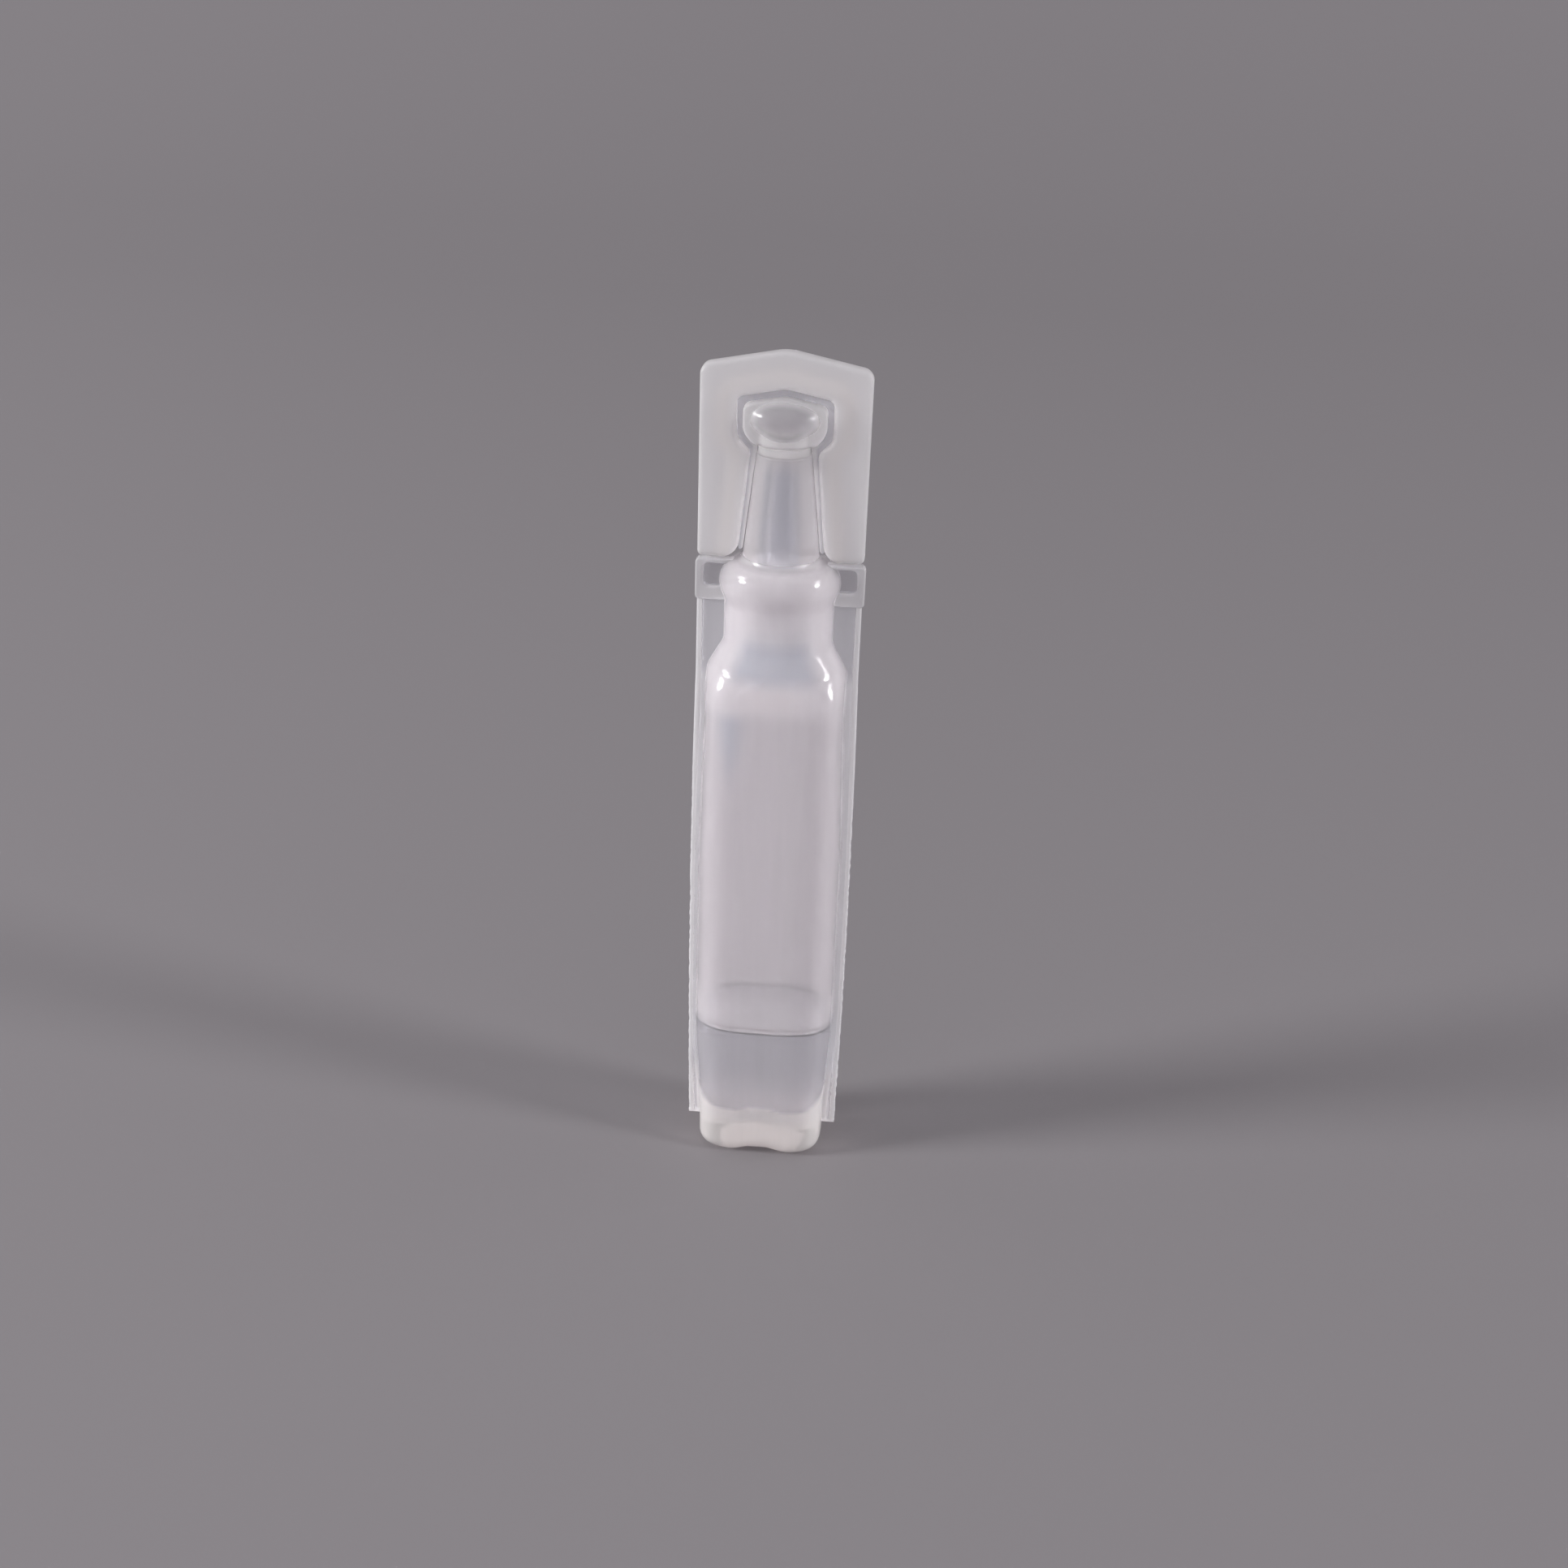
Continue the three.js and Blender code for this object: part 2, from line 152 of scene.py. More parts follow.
# Liquid: its surface by insets from the wall and rises above its level
FILL_DEPTH = 12.9
LIQUID_OVERLAP = 0.05
RIPPLE = 0.16
RIPPLE_RATE = 0.55
RIPPLE_SEED = 3.7
MENISCUS = ((-LIQUID_OVERLAP, 0.18), (0.05, 0.15), (0.2, 0.09), (0.5, 0.03), (1.0, 0.0), (1.8, 0.0))

# Heights that stack up from the foot
LEVEL_Z = FLOOR + FILL_DEPTH
FACET_Z = CHAMBER_Z - FACET_DROP
NECK_Z = CHAMBER_Z + SHOULDER_HEIGHT
COLLAR_Z = NECK_Z + NECK_HEIGHT
COLLAR_TOP_Z = COLLAR_Z + COLLAR_HEIGHT
NOZZLE_Z = COLLAR_TOP_Z + ROOT_HEIGHT
TIP_Z = NOZZLE_Z + NOZZLE_LENGTH
KEY_Z = TIP_Z + RING_ROOM
KEY_FLARE_Z = KEY_Z + KEY_FLARE_HEIGHT
KEY_EAVES_Z = KEY_Z + KEY_EAVES_HEIGHT
BLISTER_Z = (KEY_FLARE_Z + KEY_EAVES_Z) / 2
TAB_FOOT_Z = COLLAR_TOP_Z + TAB_CLEARANCE
TAB_EAVES_Z = KEY_EAVES_Z + GROOVE + TAB_ROOF_HEIGHT
TAB_PEAK_Z = TAB_EAVES_Z + TAB_HALF_WIDTH * ROOF_SLOPE
BRIDGE_OUTER = TAB_HALF_WIDTH + BRIDGE_OVERHANG

# How far above its level the liquid wets the wall in front and behind, from wet to dry
WET_FRONT = (0.1, 0.2)
WET_BACK = (0.5, 0.6)

# Points round a loft, and shares by which its end rings shrink to the axis
SIDES = 112
RING_SIDES = 64
CAP_SHARES = (0.8, 0.6, 0.4, 0.2, 0.06)

# Values kept on each point: those that shape a mesh, and those that its finish reads
SHAPING = ("turn", "across", "along")
POINT_VALUES = SHAPING + ("haze", "warmth", "dull")


def mix(a, b, t):
    return a + (b - a) * t


def ease(low, high, value):
    """0 below low, 1 above high, with a soft S-curve between."""
    t = min(max((value - low) / (high - low), 0.0), 1.0)
    return t * t * (3 - 2 * t)


def between(low, high, soft, value):
    """1 between two values and 0 outside them, with soft ends."""
    return ease(low - soft, low + soft, value) * (1 - ease(high - soft, high + soft, value))


def bend(low, high, value, rounding):
    """0 below low, 1 above high, and straight between apart from a rounded bend at each end."""
    t = min(max((value - low) / (high - low), 0.0), 1.0)
    if t < rounding:
        share = t * t / (2 * rounding)
    elif t > 1 - rounding:
        share = (1 - rounding) - (1 - t) ** 2 / (2 * rounding)
    else:
        share = t - rounding / 2
    return share / (1 - rounding)


def bell(middle, width, value):
    """1 in the middle, fading softly on both sides."""
    return math.exp(-((value - middle) / width) ** 2)


def soft_max(a, b, softness):
    """The larger of two values, rounded where they meet."""
    t = min(max(0.5 + 0.5 * (a - b) / softness, 0.0), 1.0)
    return mix(b, a, t) + softness * t * (1 - t)


def spread(start, end, steps):
    """Evenly spread values with both ends among them."""
    return [mix(start, end, i / steps) for i in range(steps + 1)]


def quarter_turn(steps):
    return spread(0, math.pi / 2, steps)


# Cross-sections

Section = namedtuple("Section", "z half_width half_depth squareness")


def round_section(z, radius):
    return Section(z, radius, radius, ELLIPSE)


def chamber_section(z, narrowing=0.0, flattening=0.0, squareness=SQUARENESS):
    return Section(z, (BODY_WIDTH - narrowing) / 2, (BODY_DEPTH - flattening) / 2, squareness)


def grown(section, by):
    return section._replace(half_width=section.half_width + by, half_depth=section.half_depth + by)


def shrunk(section, share):
    return section._replace(
        half_width=section.half_width * share, half_depth=section.half_depth * share,
    )


def blended(low, high, sideways, upwards):
    return Section(
        mix(low.z, high.z, upwards),
        mix(low.half_width, high.half_width, sideways),
        mix(low.half_depth, high.half_depth, sideways),
        mix(low.squareness, high.squareness, sideways),
    )


def ramp(low, high, steps):
    """Sections after low and up to high on a soft S-curve."""
    return [blended(low, high, ease(0, 1, t), t) for t in spread(0, 1, steps)[1:]]


def shoulder(top, neck, steps):
    """Sections after the chamber's top and up to the neck: the depth draws in before the width."""
    made = []
    for share in spread(0, 1, steps)[1:]:
        z = mix(top.z, neck.z, share)
        front = bend(top.z, neck.z - 0.4, z, rounding=0.12)
        sides = bend(CHAMBER_Z, neck.z, z, rounding=0.25)
        corners = bend(top.z + 0.6, CHAMBER_Z + 1.0, z, rounding=0.2)
        made.append(Section(
            z,
            mix(top.half_width, neck.half_width, sides),
            mix(top.half_depth, neck.half_depth, front),
            mix(top.squareness, neck.squareness, corners),
        ))
    return made


def foot_sections(bottom, radius, outer):
    """Sections round the edge of a foot."""
    made = []
    for angle in quarter_turn(8):
        inset = radius * (1 - math.sin(angle))
        made.append(grown(outer, -inset)._replace(z=bottom + radius * (1 - math.cos(angle))))
    return made


def section_at(stack, z):
    for low, high in zip(stack, stack[1:]):
        if low.z <= z <= high.z and high.z > low.z:
            t = (z - low.z) / (high.z - low.z)
            return blended(low, high, t, t)
    return stack[-1]


def outer_sections():
    """The outside of the vial from its foot to the nozzle's tip."""
    foot = chamber_section(FOOT_RADIUS, FOOT_NARROWING, FOOT_FLATTENING, FOOT_SQUARENESS)
    belly_low = chamber_section(FOOT_RADIUS + FOOT_TAPER)
    belly_high = chamber_section(FACET_Z - SHOULDER_TAPER)
    top = chamber_section(FACET_Z, SHOULDER_NARROWING, SHOULDER_FLATTENING, TOP_SQUARENESS)
    neck = Section(NECK_Z, NECK_HALF_WIDTH, NECK_HALF_DEPTH, ELLIPSE)
    collar_foot = neck._replace(z=COLLAR_Z)
    collar = grown(neck._replace(z=(COLLAR_Z + COLLAR_TOP_Z) / 2), COLLAR_SWELL)
    collar_top = round_section(COLLAR_TOP_Z, NOZZLE_RADIUS + ROOT_REACH)
    sections = foot_sections(0, FOOT_RADIUS, foot)
    sections += ramp(foot, belly_low, steps=64)
    sections += ramp(belly_low, belly_high, steps=5)
    sections += ramp(belly_high, top, steps=40)
    sections += shoulder(top, neck, steps=34)
    sections += ramp(neck, collar_foot, steps=3)
    sections += ramp(collar_foot, collar, steps=9)
    for angle in quarter_turn(10)[1:-1]:
        sections.append(blended(collar, collar_top, 1 - math.cos(angle), math.sin(angle)))
    for angle in quarter_turn(6):
        radius = NOZZLE_RADIUS + ROOT_REACH * (1 - math.sin(angle))
        sections.append(round_section(NOZZLE_Z - ROOT_HEIGHT * math.cos(angle), radius))
    straight_top = TIP_Z - TIP_ROUND
    for share in spread(0, 1, 6)[1:-1]:
        radius = mix(NOZZLE_RADIUS, TIP_RADIUS, share)
        sections.append(round_section(mix(NOZZLE_Z, straight_top, share), radius))
    for angle in quarter_turn(6):
        radius = TIP_RADIUS - TIP_ROUND * (1 - math.cos(angle))
        sections.append(round_section(straight_top + TIP_ROUND * math.sin(angle), radius))
    return sections


OUTER = outer_sections()


def inner_sections():
    """The space inside the vial from its floor to the top of the collar."""
    foot_z = FLOOR + INNER_FOOT_RADIUS
    top_z = COLLAR_TOP_Z - 0.1
    foot = grown(section_at(OUTER, foot_z), -WALL)
    waterline = [section_at(OUTER, LEVEL_Z + rise) for rise in WET_FRONT + WET_BACK]
    rows = sorted(OUTER + waterline, key=lambda s: s.z)
    walls = [grown(s, -WALL) for s in rows if foot_z < s.z < top_z]
    return foot_sections(FLOOR, INNER_FOOT_RADIUS, foot) + walls


INNER = inner_sections()


def bore_sections():
    """The nozzle's bore from its tip down to the chamber's domed roof."""
    roof = INNER[-1]
    made = []
    for share in spread(0, 1, 8):
        radius = mix(ORIFICE_RADIUS, BORE_RADIUS, share)
        made.append(round_section(mix(TIP_Z, NOZZLE_Z, share), radius))
    for angle in quarter_turn(6)[1:]:
        radius = mix(BORE_RADIUS, roof.half_width, 1 - math.cos(angle))
        made.append(round_section(mix(NOZZLE_Z, roof.z, math.sin(angle)), radius))
    return made


# Meshes

def blank():
    """An empty mesh whose points carry the values that shape and tint it."""
    bm = bmesh.new()
    for value in POINT_VALUES:
        bm.verts.layers.float.new(value)
    return bm


def extruded(bm, edges):
    """The points and edges of a copy pulled out of a run of edges, still in its place."""
    geom = bmesh.ops.extrude_edge_only(bm, edges=edges)["geom"]
    verts = [g for g in geom if isinstance(g, bmesh.types.BMVert)]
    members = set(verts)
    ends = [g for g in geom if isinstance(g, bmesh.types.BMEdge) and members.issuperset(g.verts)]
    return verts, ends


def squared(value, squareness):
    return math.copysign(abs(value) ** (2 / squareness), value)


def shape_ring(verts, turn, section):
    """Moves a ring's points onto a section, each at its own turn round the axis."""
    for vert in verts:
        angle = vert[turn]
        vert.co = (
            section.half_width * squared(math.cos(angle), section.squareness),
            section.half_depth * squared(math.sin(angle), section.squareness),
            section.z,
        )


def loft(bm, sections, closed=True, sides=SIDES):
    """A skin through a stack of sections, closed at its ends by rings that shrink to the axis."""
    turn = bm.verts.layers.float["turn"]
    stack = list(sections)
    if closed:
        low = [shrunk(stack[0], share) for share in CAP_SHARES[::-1]]
        high = [shrunk(stack[-1], share) for share in CAP_SHARES]
        stack = low + stack + high
    ring = bmesh.ops.create_circle(bm, segments=sides, radius=1)["verts"]
    for vert in ring:
        vert[turn] = math.atan2(vert.co.y, vert.co.x) + math.pi / sides
    shape_ring(ring, turn, stack[0])
    first = edges = list(dict.fromkeys(edge for vert in ring for edge in vert.link_edges))
    made = list(ring)
    for section in stack[1:]:
        ring, edges = extruded(bm, edges)
        shape_ring(ring, turn, section)
        made += ring
    if closed:
        bmesh.ops.edgeloop_fill(bm, edges=first)
        bmesh.ops.edgeloop_fill(bm, edges=edges)
    return made


def turn_out(bm, faces):
    """Makes faces look outwards."""
    bmesh.ops.recalc_face_normals(bm, faces=faces)


def faces_of(verts):
    return list(dict.fromkeys(face for vert in verts for face in vert.link_faces))


def finished(bm, name, material, smooth_angle=None):
    """The mesh as an object in metres, at the origin."""
    bmesh.ops.scale(bm, vec=(MM, MM, MM), verts=bm.verts[:])
    mesh = bpy.data.meshes.new(name)
    bm.to_mesh(mesh)
    bm.free()
    for value in SHAPING:
        mesh.attributes.remove(mesh.attributes[value])
    mesh.materials.append(material)
    obj = bpy.data.objects.new(name, mesh)
    bpy.context.scene.collection.objects.link(obj)
    for polygon in mesh.polygons:
        polygon.use_smooth = True
    if smooth_angle is not None:
        mesh.set_sharp_from_angle(angle=math.radians(smooth_angle))
    return obj


# Materials: flow lines by their rate along each axis per metre, and what they do to the surface

FLOW_RATE = (1000, 1000, 90)
WEAR = 0.1
WAVE_STRENGTH = 0.06
WAVE_HEIGHT = 0.2
SLANT = 0.4


def shaded(name):
    """A new material, with its node tree and its main shader."""
    material = bpy.data.materials.new(name)
    material.use_nodes = True
    tree = material.node_tree
    return material, tree, tree.nodes["Principled BSDF"]


def node(tree, kind, **settings):
    made = tree.nodes.new(kind)
    for key, value in settings.items():
        setattr(made, key, value)
    return made


def calculate(tree, operation, *terms, clamp=False):
    """The result of a math node on sockets and plain numbers."""
    made = node(tree, "ShaderNodeMath", operation=operation, use_clamp=clamp)
    for socket, term in zip(made.inputs, terms):
        if isinstance(term, bpy.types.NodeSocket):
            tree.links.new(term, socket)
        else:
            socket.default_value = term
    return made.outputs[0]


def point_value(tree, name):
    return node(tree, "ShaderNodeAttribute", attribute_name=name).outputs["Fac"]


def flow_lines(tree):
    """Noise that is drawn out along the vial, as the plastic flowed in the mould."""
    place = node(tree, "ShaderNodeTexCoord")
    stretch = node(tree, "ShaderNodeMapping")
    stretch.inputs["Scale"].default_value = FLOW_RATE
    flow = node(tree, "ShaderNodeTexNoise")
    flow.inputs["Scale"].default_value = 1.0
    flow.inputs["Detail"].default_value = 2.0
    tree.links.new(place.outputs["Object"], stretch.inputs["Vector"])
    tree.links.new(stretch.outputs["Vector"], flow.inputs["Vector"])
    return flow.outputs["Fac"]


def lighten_shadow(tree, shader, colour):
    """Lets the lamps shine through a material, tinted by a colour."""
    through = node(tree, "ShaderNodeBsdfTransparent")
    through.inputs["Color"].default_value = (*colour, 1)
    rays = node(tree, "ShaderNodeLightPath")
    lit = node(tree, "ShaderNodeMixShader")
    tree.links.new(rays.outputs["Is Shadow Ray"], lit.inputs["Fac"])
    tree.links.new(shader.outputs["BSDF"], lit.inputs[1])
    tree.links.new(through.outputs["BSDF"], lit.inputs[2])
    tree.links.new(lit.outputs["Shader"], tree.nodes["Material Output"].inputs["Surface"])


def plastic(name, thin, thick, shadow, bending, gloss, roughness, uneven, edge, glow):
    """Polyethylene whose haze, tint and dullness follow the piece's own attributes.

    thin and thick are its colours where it is thin and bluish, and where it is thick and warm.
    shadow is how much of the lamps' light one skin lets through.
    bending is how far it bends light, weak in milky plastic, and gloss its waxy shine.
    uneven is how far the haze varies along the flow, and edge how much it gains at a slant.
    glow is how far light spreads in it, in millimetres.
    """
    material, tree, shader = shaded(name)
    shader.inputs["IOR"].default_value = bending
    shader.inputs["Specular IOR Level"].default_value = gloss
    if glow:
        shader.inputs["Subsurface Weight"].default_value = 1.0
        shader.inputs["Subsurface Radius"].default_value = (1.0, 1.0, 1.0)
        shader.inputs["Subsurface Scale"].default_value = glow * MM

    flow = flow_lines(tree)
    worn = calculate(tree, "MULTIPLY_ADD", flow, 2 * WEAR * roughness, (1 - WEAR) * roughness)
    matt = calculate(tree, "ADD", worn, point_value(tree, "dull"))
    tree.links.new(matt, shader.inputs["Roughness"])
    wavy = node(tree, "ShaderNodeBump")
    wavy.inputs["Strength"].default_value = WAVE_STRENGTH
    wavy.inputs["Distance"].default_value = WAVE_HEIGHT * MM
    tree.links.new(flow, wavy.inputs["Height"])
    tree.links.new(wavy.outputs["Normal"], shader.inputs["Normal"])

    vary = calculate(tree, "MULTIPLY_ADD", flow, 2 * uneven, 1 - uneven)
    hazy = calculate(tree, "MULTIPLY", point_value(tree, "haze"), vary)
    slant = node(tree, "ShaderNodeLayerWeight")
    slant.inputs["Blend"].default_value = SLANT
    slanted = calculate(tree, "MULTIPLY_ADD", slant.outputs["Facing"], edge, hazy)
    clear = calculate(tree, "SUBTRACT", 1.0, slanted, clamp=True)
    tree.links.new(clear, shader.inputs["Transmission Weight"])

    tint = node(tree, "ShaderNodeMix", data_type="RGBA")
    tint.inputs["A"].default_value = (*thin, 1)
    tint.inputs["B"].default_value = (*thick, 1)
    tree.links.new(point_value(tree, "warmth"), tint.inputs["Factor"])
    tree.links.new(tint.outputs["Result"], shader.inputs["Base Color"])
    lighten_shadow(tree, shader, (shadow, shadow, shadow))
    return material


def water(name):
    material, tree, shader = shaded(name)
    shader.inputs["Base Color"].default_value = (0.97, 0.98, 1.0, 1)
    shader.inputs["Roughness"].default_value = 0.03
    shader.inputs["IOR"].default_value = 1.3
    shader.inputs["Transmission Weight"].default_value = 1.0
    lighten_shadow(tree, shader, (0.9, 0.92, 0.94))
    return material


MILKY = plastic(
    "milky_wall", (0.81, 0.82, 0.87), (0.96, 0.87, 0.855), shadow=0.48,
    bending=1.3, gloss=1.0, roughness=0.1, uneven=0.05, edge=0.0, glow=2.0,
)
WHITISH = plastic(
    "whitish_tab", (0.92, 0.91, 0.94), (0.95, 0.89, 0.88), shadow=0.5,
    bending=1.25, gloss=0.6, roughness=0.34, uneven=0.05, edge=0.08, glow=2.0,
)
FILMY = plastic(
    "torn_film", (0.84, 0.835, 0.87), (0.97, 0.95, 0.95), shadow=0.75,
    bending=1.4, gloss=0.4, roughness=0.08, uneven=0.03, edge=0.0, glow=0,
)
SALINE = water("saline")


# Finishes: haze runs from 0 for clear to 1 for white, and warmth from the thin colour to the thick

Finish = namedtuple("Finish", "haze warmth")

RING_FINISH = Finish(0.40, 0.5)
KEY_FINISH = Finish(0.39, 0.5)
BLISTER_FINISH = Finish(0.14, 0.1)
HOLLOW_FINISH = Finish(0.08, 0.1)
GROOVE_FINISH = Finish(0.31, 0.0)
PALE_GROOVE_FINISH = Finish(0.46, 0.6)
WEB_FINISH = Finish(0.34, 0.1)
RIM_FINISH = Finish(0.58, 0.6)
BRIDGE_FINISH = Finish(0.34, 0.5)
WINDOW_FINISH = Finish(0.10, 0.1)

# What each feature of the wall adds to its haze and warmth, outside and inside, painted light and
# shade among them
# side: less haze on the body's narrow sides, painted shade that offsets the lamps' light there
OUTER_HAZE = {"plain": 0.225, "wet": 0.025, "side": -0.08, "painted_dark_streak": -0.04, "facet_painted_shade": -0.07}
OUTER_WARMTH = {
    # the streak at the front left is painted bluer here, as shade
    "plain": 0.4, "base": 0.6, "painted_dark_streak": -0.4, "facet_painted_shade": -0.4, "nozzle": 0.1, "core": -0.4,
}
# side and right: more haze on the base's sides and towards its right end, painted light over the
# shade of its rounded corners and over the dark floor seen through its right end
BASE_HAZE = {"plain": 0.525, "side": 0.16, "right": 0.004}
NOZZLE_HAZE = 0.30
CORE_HAZE = 0.215
DRY_HAZE = {
    # side: less haze inside the narrow sides too, painted shade
    "plain": 0.44, "upper": 0.2, "collar": -0.22, "side": -0.12,
    # bend: more haze in the band below the crease, painted light
    # facet: less haze on the slopes below the neck, painted shade
    "mist": 0.22, "bend": 0.08, "facet_painted_shade": -0.2,
}
WET_HAZE = {"plain": 0.22, "floor": 0.1}
BORE_HAZE = 0.06
INNER_WARMTH = {
    # bend: warmer in that band, painted light
    "plain": 0.2, "dry": 0.2, "floor": 0.6, "bend": 0.15,
    # facet and streak: bluer inside, painted shade
    "facet_painted_shade": -0.4, "painted_dark_streak": -0.4, "bore": -0.3,
}

# The tab's haze, less towards its top as painted shade against the light falling there, and the
# warm halo round its groove
TAB_HAZE = 0.42
TAB_TOP_PAINTED_SHADE = 0.07
TAB_WARMTH = 0.35
HALO_HAZE = 0.02
HALO_WARMTH = 0.5

# Added roughness: the nozzle is dull and the blister glossy
NOZZLE_DULL = 0.22
BLISTER_GLOSS = 0.17

# The thin dark streak at the left of the front face, painted shade made of clearer, bluer plastic
PAINTED_STREAK_X = -4.0
PAINTED_STREAK_TIP_Z = 43.0

# The top of the solid base: its height, its lobe over the saddle, and its corners
BASE_TOP_Z = 5.75
BASE_LOBE = 0.45
BASE_CORNER_X = 3.9
BASE_CORNER_WIDTH = 2.8
BASE_CORNER_RISE = 2.2

# Half widths: of the clear column in the nozzle at its foot and its tip, and of a broad face
CORE_FOOT_REACH = 2.4
CORE_TIP_REACH = 1.8
FACE_REACH = 7.0


def weighted(weights, shares):
    """Adds up what each feature gives, by its share at a point."""
    return sum(weight * shares[feature] for feature, weight in weights.items())


def mixed(a, b, t):
    return Finish(mix(a.haze, b.haze, t), mix(a.warmth, b.warmth, t))


def even(finish):
    """A rule that is the same everywhere."""
    return lambda co: finish


def hazed(bm, verts, rule):
    """Sets each point's haze and warmth by a rule on its place."""
    haze = bm.verts.layers.float["haze"]
    warmth = bm.verts.layers.float["warmth"]
    for vert in verts:
        vert[haze], vert[warmth] = rule(vert.co)


def dulled(bm, verts, rule):
    """Sets each point's added roughness by a rule on its place."""
    dull = bm.verts.layers.float["dull"]
    for vert in verts:
        vert[dull] = rule(vert.co)


# The vial

def saddle_lift(co):
    """How far the wave across the foot lifts a point."""
    wave = 1 - ease(0.2, SADDLE_HALF_WIDTH, abs(co.x))
    return SADDLE_DEPTH * wave * (1 - ease(*SADDLE_FADE, co.z))


def base_top(x):
    """Where the solid base ends: lobed over the saddle, and higher at the corners."""
    reach = abs(x)
    past = max(reach - BASE_CORNER_X, 0.0) / BASE_CORNER_WIDTH
    corner = 1 - math.sqrt(max(1 - past ** 2, 0.0))
    lobe = 1 - ease(0.8, 2.6, reach)
    return BASE_TOP_Z + BASE_LOBE * lobe + BASE_CORNER_RISE * corner


def base_share(co):
    blur = 0.2 + 0.5 * ease(4.5, 6.2, abs(co.x))
    return 1 - ease(-blur, blur, co.z - base_top(co.x))


def nozzle_share(co):
    return ease(COLLAR_TOP_Z - 0.2, NOZZLE_Z - 0.2, co.z)


def core_share(co):
    """1 on the clear column up the middle of the nozzle."""
    column = mix(CORE_FOOT_REACH, CORE_TIP_REACH, (co.z - NOZZLE_Z) / NOZZLE_LENGTH)
    inside = 1 - ease(0.6 * column, 1.05 * column, abs(co.x))
    return inside * (1 - ease(TIP_Z - 1.4, TIP_Z - 0.4, co.z))


# Shapes the painted shade on the body's narrow sides and the painted light on the base's sides
def side_share(co):
    """Grows from 0 in the middle of the broad faces to 1 on the narrow sides."""
    return min((co.x / FACE_REACH) ** 2, 1.0)


def painted_streak_share(co):
    """1 on the streak of painted shade at the left of the front face, which widens up to the
    shoulder.
    """
    if co.y > 0:
        return 0.0
    width = mix(0.5, 1.3, max(co.z - PAINTED_STREAK_TIP_Z, 0) / 8)
    tip = ease(PAINTED_STREAK_TIP_Z - 1.5, PAINTED_STREAK_TIP_Z + 6.0, co.z)
    top = 1 - ease(FACET_Z - 1.0, FACET_Z + 0.8, co.z)
    return tip * top * bell(PAINTED_STREAK_X, width, co.x)


def facet_share(co):
    """1 on the flat slopes that lead from the chamber's broad faces to the neck, where painted
    shade makes the wall clearer and bluer.
    """
    below = NECK_Z - co.z
    return between(-0.6, 3.3, 1.0, below) * (1 - ease(2.2, 3.9, abs(co.x) - 0.33 * below))


def outer_finish(co):
    nozzle = nozzle_share(co)
    core = core_share(co)
    shares = {
        "plain": 1.0,
        "base": base_share(co),
        "wet": 1 - ease(LEVEL_Z - 1.0, LEVEL_Z + 0.4, co.z),
        "side": side_share(co),
        # x, for the painted light towards the right end of the base
        "right": co.x,
        "painted_dark_streak": painted_streak_share(co),
        "facet_painted_shade": facet_share(co),
        "nozzle": nozzle,
        "core": nozzle * core,
    }
    haze = mix(weighted(OUTER_HAZE, shares), mix(NOZZLE_HAZE, CORE_HAZE, core), nozzle)
    haze = mix(haze, weighted(BASE_HAZE, shares), shares["base"])
    return Finish(haze, max(weighted(OUTER_WARMTH, shares), 0.0))


def inner_finish(co):
    rise = co.z - LEVEL_Z
    front = co.y < 0
    shares = {
        "plain": 1.0,
        "floor": 1 - ease(2.6, 5.6, co.z),
        "dry": ease(*(WET_FRONT if front else WET_BACK), rise),
        "mist": between(0.2, 4.4, 0.4, rise) if front else 0.0,
        "side": side_share(co),
        "painted_dark_streak": painted_streak_share(co),
        # bend: a pale, warm band inside just below the shoulder's crease, painted light
        "bend": bell(NECK_Z - 5.2, 1.2, co.z) * math.exp(-(co.x / 3.0) ** 4),
        "facet_painted_shade": facet_share(co),
        "upper": ease(FACET_Z - 1.0, FACET_Z + 0.5, co.z),
        "collar": between(COLLAR_Z + 1.6, COLLAR_TOP_Z, 1.0, co.z),
        "bore": ease(NOZZLE_Z - 1.0, NOZZLE_Z, co.z),
    }
    haze = mix(weighted(WET_HAZE, shares), weighted(DRY_HAZE, shares), shares["dry"])
    haze = mix(haze, BORE_HAZE, shares["bore"])
    return Finish(haze, max(weighted(INNER_WARMTH, shares), 0.0))


def nozzle_dull(co):
    return NOZZLE_DULL * nozzle_share(co)


def vial_wall():
    """One skin up the outside, down the bore and round the inside of the chamber."""
    bm = blank()
    made = loft(bm, OUTER + bore_sections() + INNER[::-1][1:])
    outside = SIDES * (len(CAP_SHARES) + len(OUTER))
    outer, inner = made[:outside], made[outside:]
    for vert in made:
        vert.co.z += saddle_lift(vert.co)
    for vert in outer:
        sunk = 0.5 + 0.5 * noise.noise(vert.co * Vector(SINK_RATE))
        vert.co.xy *= 1 - SINK * sunk * between(3.0, NECK_Z, 2.0, vert.co.z)
    hazed(bm, outer, outer_finish)
    hazed(bm, inner, inner_finish)
    dulled(bm, made, nozzle_dull)
    turn_out(bm, bm.faces[:])
    return finished(bm, "vial_wall", MILKY)


def liquid():
    """The liquid, which climbs the wall a little and is not quite level."""
    bm = blank()
    edge = section_at(INNER, LEVEL_Z)
    stack = [grown(s, LIQUID_OVERLAP) for s in INNER if s.z < LEVEL_Z - 0.3]
    stack += [grown(edge, -inset)._replace(z=LEVEL_Z + rise) for inset, rise in MENISCUS]
    for vert in loft(bm, stack):
        vert.co.z += saddle_lift(vert.co)
        if vert.co.z > LEVEL_Z - 0.2:
            x, y = vert.co.xy * RIPPLE_RATE
            vert.co.z += RIPPLE * noise.noise(Vector((x, y, RIPPLE_SEED)))
    turn_out(bm, bm.faces[:])
    return finished(bm, "saline", SALINE)


